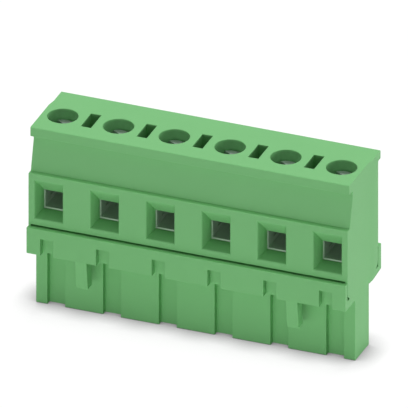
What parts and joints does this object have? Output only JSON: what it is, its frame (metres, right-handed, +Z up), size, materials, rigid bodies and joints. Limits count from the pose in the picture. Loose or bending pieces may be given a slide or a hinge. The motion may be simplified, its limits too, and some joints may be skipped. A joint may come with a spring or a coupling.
{
  "type": "pluggable terminal block",
  "caption": "Green plug-in terminal block: an upper shell with screw clamps and side conductor entries over a lower shell whose grooved nose plugs into a pin header.",
  "frame": {"origin": "centre of the overall outline, at the bottom of the nose", "axes": "+Z up from the nose to the screw heads, +X along the row, conductor entries face -Y"},
  "size_m": [0.0438, 0.012, 0.0263],
  "materials": {
    "housing_plastic": "moulded green polyamide, fine satin texture",
    "carrier_plastic": "moulded green polyamide, fine satin texture",
    "screw_zinc": "zinc-plated steel",
    "sleeve_nickel": "nickel-plated steel",
    "contact_tin": "tin-plated copper alloy strip"
  },
  "bodies": {
    "shells": {"screw_housing": "housing_plastic", "contact_carrier": "carrier_plastic", "contact_1": "contact_tin", "contact_2": "contact_tin", "contact_3": "contact_tin", "contact_4": "contact_tin", "contact_5": "contact_tin", "contact_6": "contact_tin"},
    "screw_body_1": {"screw_1": "screw_zinc"},
    "screw_body_2": {"screw_2": "screw_zinc"},
    "screw_body_3": {"screw_3": "screw_zinc"},
    "screw_body_4": {"screw_4": "screw_zinc"},
    "screw_body_5": {"screw_5": "screw_zinc"},
    "screw_body_6": {"screw_6": "screw_zinc"},
    "sleeve_body_1": {"sleeve_1": "sleeve_nickel"},
    "sleeve_body_2": {"sleeve_2": "sleeve_nickel"},
    "sleeve_body_3": {"sleeve_3": "sleeve_nickel"},
    "sleeve_body_4": {"sleeve_4": "sleeve_nickel"},
    "sleeve_body_5": {"sleeve_5": "sleeve_nickel"},
    "sleeve_body_6": {"sleeve_6": "sleeve_nickel"}
  },
  "joints": [
    {"name": "screw_1_turn", "type": "hinge", "parent": "shells", "child": "screw_body_1", "pos_m": [-0.01915, -0.00033, 0.0248], "axis": [0, 0, -1], "range_deg": [0, 1728]},
    {"name": "screw_2_turn", "type": "hinge", "parent": "shells", "child": "screw_body_2", "pos_m": [-0.01153, -0.00033, 0.0248], "axis": [0, 0, -1], "range_deg": [0, 1728]},
    {"name": "screw_3_turn", "type": "hinge", "parent": "shells", "child": "screw_body_3", "pos_m": [-0.00391, -0.00033, 0.0248], "axis": [0, 0, -1], "range_deg": [0, 1728]},
    {"name": "screw_4_turn", "type": "hinge", "parent": "shells", "child": "screw_body_4", "pos_m": [0.00371, -0.00033, 0.0248], "axis": [0, 0, -1], "range_deg": [0, 1728]},
    {"name": "screw_5_turn", "type": "hinge", "parent": "shells", "child": "screw_body_5", "pos_m": [0.01133, -0.00033, 0.0248], "axis": [0, 0, -1], "range_deg": [0, 1728]},
    {"name": "screw_6_turn", "type": "hinge", "parent": "shells", "child": "screw_body_6", "pos_m": [0.01895, -0.00033, 0.0248], "axis": [0, 0, -1], "range_deg": [0, 1728]},
    {"name": "sleeve_1_rise", "type": "slide", "parent": "shells", "child": "sleeve_body_1", "axis": [0, 0, 1], "range_m": [0, 0.0024]},
    {"name": "sleeve_2_rise", "type": "slide", "parent": "shells", "child": "sleeve_body_2", "axis": [0, 0, 1], "range_m": [0, 0.0024]},
    {"name": "sleeve_3_rise", "type": "slide", "parent": "shells", "child": "sleeve_body_3", "axis": [0, 0, 1], "range_m": [0, 0.0024]},
    {"name": "sleeve_4_rise", "type": "slide", "parent": "shells", "child": "sleeve_body_4", "axis": [0, 0, 1], "range_m": [0, 0.0024]},
    {"name": "sleeve_5_rise", "type": "slide", "parent": "shells", "child": "sleeve_body_5", "axis": [0, 0, 1], "range_m": [0, 0.0024]},
    {"name": "sleeve_6_rise", "type": "slide", "parent": "shells", "child": "sleeve_body_6", "axis": [0, 0, 1], "range_m": [0, 0.0024]}
  ],
  "couplings": [
    {"joint": "screw_1_turn", "follows": "sleeve_1_rise", "rad_per_m": 12566},
    {"joint": "screw_2_turn", "follows": "sleeve_2_rise", "rad_per_m": 12566},
    {"joint": "screw_3_turn", "follows": "sleeve_3_rise", "rad_per_m": 12566},
    {"joint": "screw_4_turn", "follows": "sleeve_4_rise", "rad_per_m": 12566},
    {"joint": "screw_5_turn", "follows": "sleeve_5_rise", "rad_per_m": 12566},
    {"joint": "screw_6_turn", "follows": "sleeve_6_rise", "rad_per_m": 12566}
  ]
}
